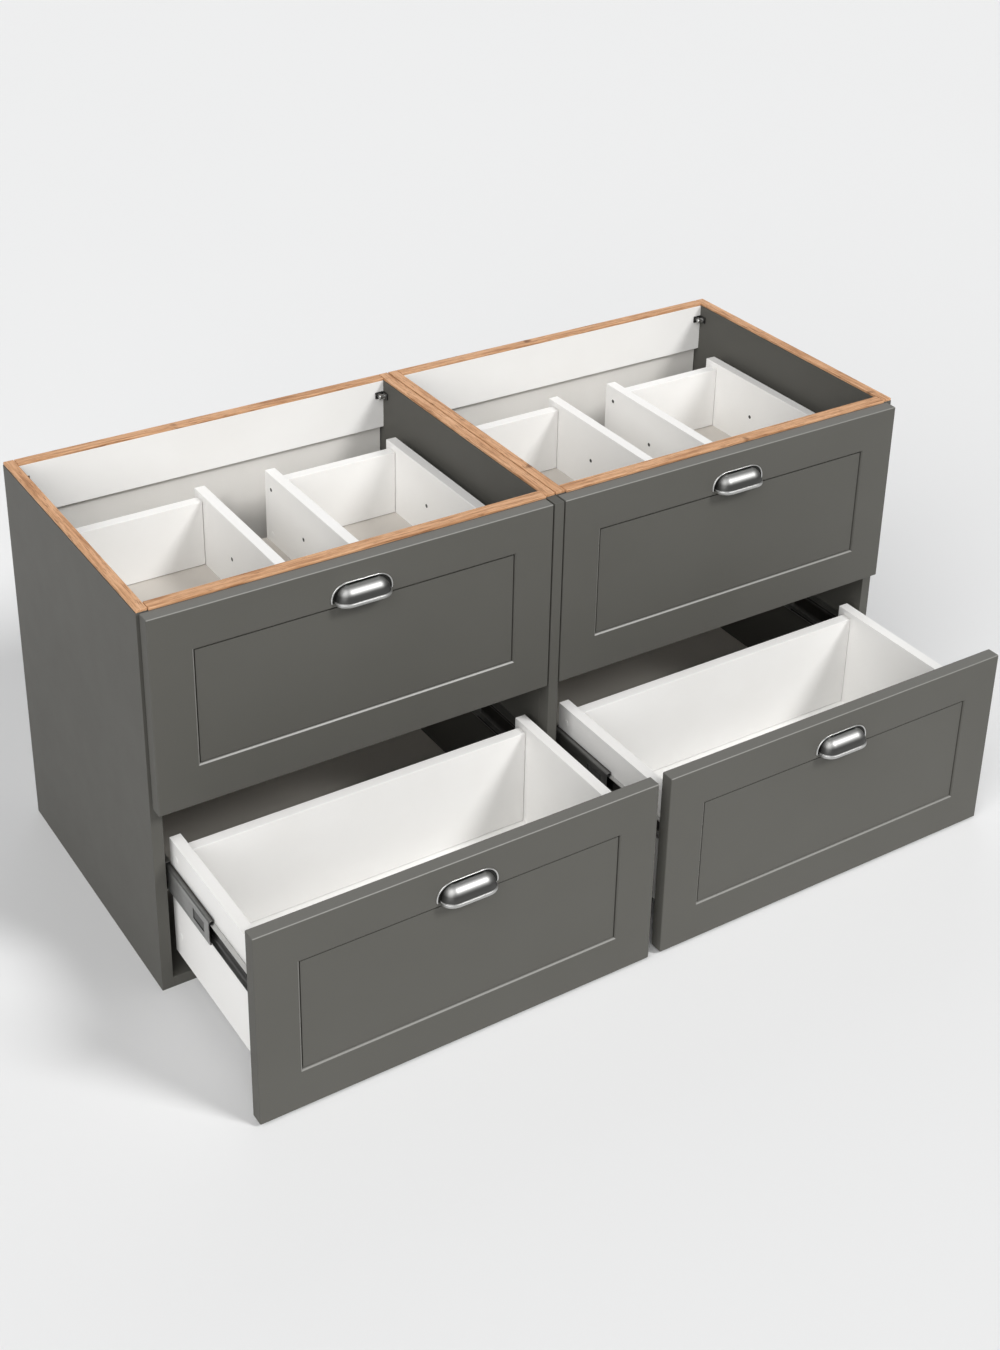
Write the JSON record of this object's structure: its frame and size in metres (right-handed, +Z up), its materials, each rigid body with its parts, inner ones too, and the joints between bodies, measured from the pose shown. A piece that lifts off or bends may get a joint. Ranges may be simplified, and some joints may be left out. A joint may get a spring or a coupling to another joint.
{
  "type": "vanity unit",
  "caption": "Bathroom vanity base cabinet in joined units, with framed drawer fronts on telescopic slides, cup pulls, oak edge strips and drawer boxes divided round the trap.",
  "frame": {"origin": "on the floor, on the seam between the two units, half way between the front edges of the side panels and the back", "axes": "+X to the right as seen from the front, +Y towards the wall, +Z up; the drawers open along -Y"},
  "size_m": [1.2004, 0.7574, 0.58],
  "materials": {
    "grey_lacquer": "matt warm grey lacquer on board",
    "oak_edge": "oiled oak-look edge strip with fine grain",
    "white_board": "satin white melamine-faced board",
    "slide_steel": "zinc-plated rolled steel",
    "cage_plastic": "black moulded plastic",
    "pull_pewter": "polished pewter-tone metal",
    "screw_steel": "bright zinc-plated steel",
    "dowel_beech": "plain beech",
    "bracket_dark": "dark coated steel"
  },
  "bodies": {
    "carcass": {"carcass_dowels": "dowel_beech", "carcass_screws": "screw_steel", "corner_brackets": "bracket_dark", "filler_strip": "grey_lacquer", "left_back": "white_board", "left_back_rail": "white_board", "left_bottom": "grey_lacquer", "left_front_rail": "grey_lacquer", "left_oak_strips": "oak_edge", "left_side_left": "grey_lacquer", "left_side_right": "grey_lacquer", "left_slide_outer": "slide_steel", "right_back": "white_board", "right_back_rail": "white_board", "right_bottom": "grey_lacquer", "right_front_rail": "grey_lacquer", "right_oak_strips": "oak_edge", "right_side_left": "grey_lacquer", "right_side_right": "grey_lacquer", "right_slide_outer": "slide_steel", "unit_bolts": "screw_steel"},
    "left_upper_drawer": {"left_upper_front": "grey_lacquer", "left_upper_handle": "pull_pewter", "left_upper_screws": "screw_steel", "left_upper_sides": "white_board", "left_upper_partitions": "white_board", "left_upper_backs": "white_board", "left_upper_floor": "white_board", "left_upper_slide_inner": "slide_steel"},
    "left_upper_telescope": {"left_upper_slide_middle": "slide_steel", "left_upper_ball_cages": "cage_plastic"},
    "left_lower_drawer": {"left_lower_front": "grey_lacquer", "left_lower_handle": "pull_pewter", "left_lower_screws": "screw_steel", "left_lower_sides": "white_board", "left_lower_backs": "white_board", "left_lower_floor": "white_board", "left_lower_slide_inner": "slide_steel"},
    "left_lower_telescope": {"left_lower_slide_middle": "slide_steel", "left_lower_ball_cages": "cage_plastic"},
    "right_upper_drawer": {"right_upper_front": "grey_lacquer", "right_upper_handle": "pull_pewter", "right_upper_screws": "screw_steel", "right_upper_sides": "white_board", "right_upper_partitions": "white_board", "right_upper_backs": "white_board", "right_upper_floor": "white_board", "right_upper_slide_inner": "slide_steel"},
    "right_upper_telescope": {"right_upper_slide_middle": "slide_steel", "right_upper_ball_cages": "cage_plastic"},
    "right_lower_drawer": {"right_lower_front": "grey_lacquer", "right_lower_handle": "pull_pewter", "right_lower_screws": "screw_steel", "right_lower_sides": "white_board", "right_lower_backs": "white_board", "right_lower_floor": "white_board", "right_lower_slide_inner": "slide_steel"},
    "right_lower_telescope": {"right_lower_slide_middle": "slide_steel", "right_lower_ball_cages": "cage_plastic"}
  },
  "joints": [
    {"name": "left_upper_drawer_slide", "type": "slide", "parent": "carcass", "child": "left_upper_drawer", "axis": [0, -1, 0], "range_m": [0, 0.35]},
    {"name": "left_upper_telescope_slide", "type": "slide", "parent": "carcass", "child": "left_upper_telescope", "axis": [0, -1, 0], "range_m": [0, 0.175]},
    {"name": "left_lower_drawer_slide", "type": "slide", "parent": "carcass", "child": "left_lower_drawer", "axis": [0, -1, 0], "range_m": [-0.26, 0]},
    {"name": "left_lower_telescope_slide", "type": "slide", "parent": "carcass", "child": "left_lower_telescope", "axis": [0, -1, 0], "range_m": [-0.13, 0]},
    {"name": "right_upper_drawer_slide", "type": "slide", "parent": "carcass", "child": "right_upper_drawer", "axis": [0, -1, 0], "range_m": [0, 0.35]},
    {"name": "right_upper_telescope_slide", "type": "slide", "parent": "carcass", "child": "right_upper_telescope", "axis": [0, -1, 0], "range_m": [0, 0.175]},
    {"name": "right_lower_drawer_slide", "type": "slide", "parent": "carcass", "child": "right_lower_drawer", "axis": [0, -1, 0], "range_m": [-0.26, 0]},
    {"name": "right_lower_telescope_slide", "type": "slide", "parent": "carcass", "child": "right_lower_telescope", "axis": [0, -1, 0], "range_m": [-0.13, 0]}
  ],
  "couplings": [
    {"joint": "left_upper_telescope_slide", "follows": "left_upper_drawer_slide", "ratio": 0.5},
    {"joint": "left_lower_telescope_slide", "follows": "left_lower_drawer_slide", "ratio": 0.5},
    {"joint": "right_upper_telescope_slide", "follows": "right_upper_drawer_slide", "ratio": 0.5},
    {"joint": "right_lower_telescope_slide", "follows": "right_lower_drawer_slide", "ratio": 0.5}
  ]
}
